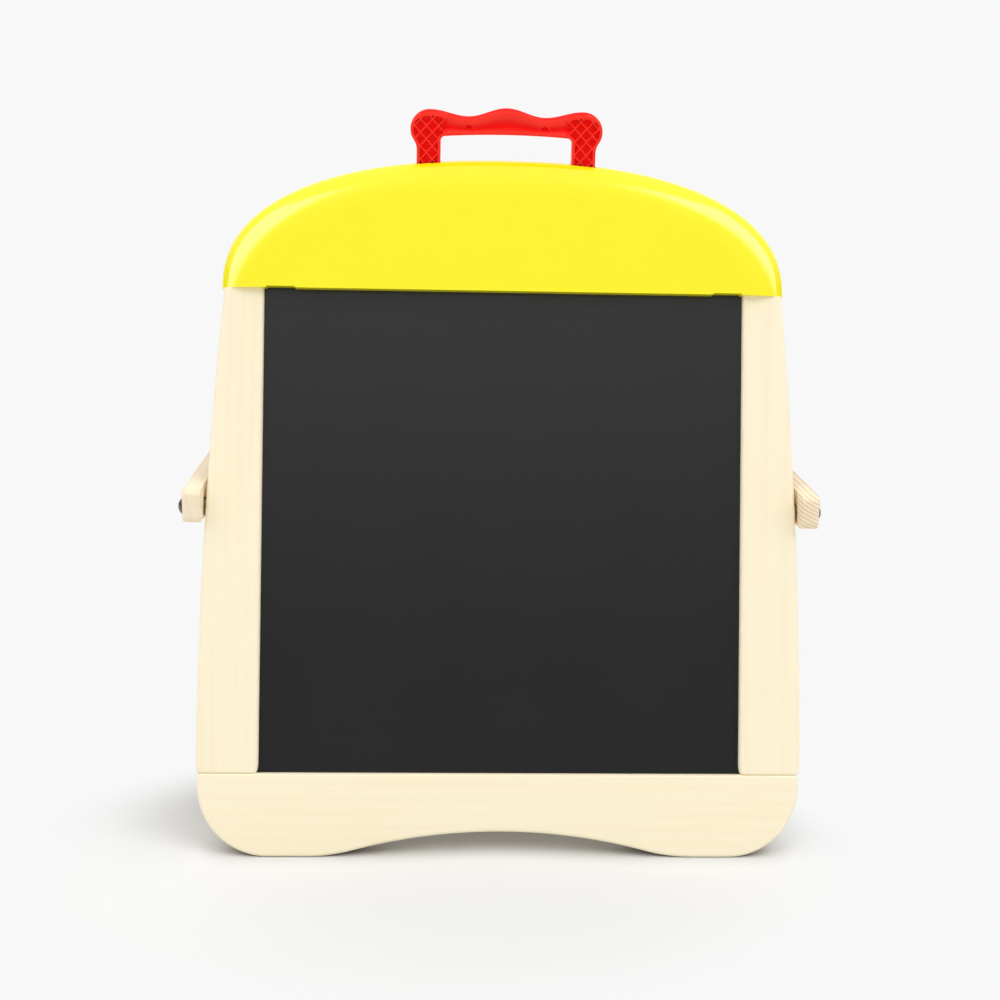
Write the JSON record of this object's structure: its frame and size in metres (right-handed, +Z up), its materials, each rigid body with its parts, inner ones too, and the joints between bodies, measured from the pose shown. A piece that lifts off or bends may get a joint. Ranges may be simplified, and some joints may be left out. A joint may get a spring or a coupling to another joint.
{
  "type": "kids tabletop easel",
  "caption": "Folding A-frame tabletop easel with curved wooden panels, arched caps, a carry handle and hinged side struts.",
  "frame": {"origin": "centre of the bounding box at the level of the feet", "axes": "+X to the right seen from the chalkboard side, +Y to the whiteboard side, +Z up"},
  "size_m": [0.4312, 0.2574, 0.4819],
  "materials": {
    "frame_wood": "pale pine, satin clear varnish",
    "strut_wood": "pale pine, sanded end grain",
    "dowel_wood": "plain beech, unfinished",
    "cap_lacquer": "gloss yellow lacquer over wood",
    "chalk_surface": "matte black chalkboard paint",
    "white_surface": "glossy white dry-wipe face",
    "red_plastic": "glossy moulded red plastic",
    "hinge_steel": "zinc-plated steel",
    "screw_steel": "dark nickel-plated steel",
    "brass": "machined brass"
  },
  "bodies": {
    "front_frame": {"front_cap": "cap_lacquer", "front_left_stile": "frame_wood", "front_right_stile": "frame_wood", "front_bottom_rail": "frame_wood", "chalkboard": "chalk_surface", "front_dowels": "dowel_wood", "front_hinge_leaves": "hinge_steel", "front_hinge_screws": "screw_steel", "hinge_pins": "hinge_steel", "pivot_screws": "screw_steel", "pivot_washers": "screw_steel", "pivot_spacers": "screw_steel", "pivot_inserts": "brass"},
    "rear_frame": {"rear_cap": "cap_lacquer", "rear_left_stile": "frame_wood", "rear_right_stile": "frame_wood", "rear_bottom_rail": "frame_wood", "whiteboard": "white_surface", "rear_dowels": "dowel_wood", "rear_hinge_leaves": "hinge_steel", "rear_hinge_screws": "screw_steel", "catch_screws": "screw_steel", "catch_washers": "screw_steel", "catch_spacers": "screw_steel", "catch_inserts": "brass"},
    "carry_handle": {"carry_handle": "red_plastic"},
    "left_strut": {"left_strut": "strut_wood"},
    "right_strut": {"right_strut": "strut_wood"}
  },
  "joints": [
    {"name": "fold", "type": "hinge", "parent": "front_frame", "child": "rear_frame", "pos_m": [0, 0, 0.41674], "axis": [-1, 0, 0], "range_deg": [0, 30]},
    {"name": "handle_turn", "type": "hinge", "parent": "front_frame", "child": "carry_handle", "pos_m": [0, 0, 0.41674], "axis": [-1, 0, 0], "range_deg": [0, 15]},
    {"name": "left_strut_turn", "type": "hinge", "parent": "front_frame", "child": "left_strut", "pos_m": [-0.2035, -0.06175, 0.22106], "axis": [1, 0, 0], "range_deg": [0, 75]},
    {"name": "right_strut_turn", "type": "hinge", "parent": "front_frame", "child": "right_strut", "pos_m": [0.2035, -0.06175, 0.22106], "axis": [1, 0, 0], "range_deg": [0, 75]}
  ],
  "couplings": [
    {"joint": "handle_turn", "follows": "fold", "ratio": 0.5},
    {"joint": "left_strut_turn", "follows": "fold", "ratio": 2.5},
    {"joint": "right_strut_turn", "follows": "fold", "ratio": 2.5}
  ]
}
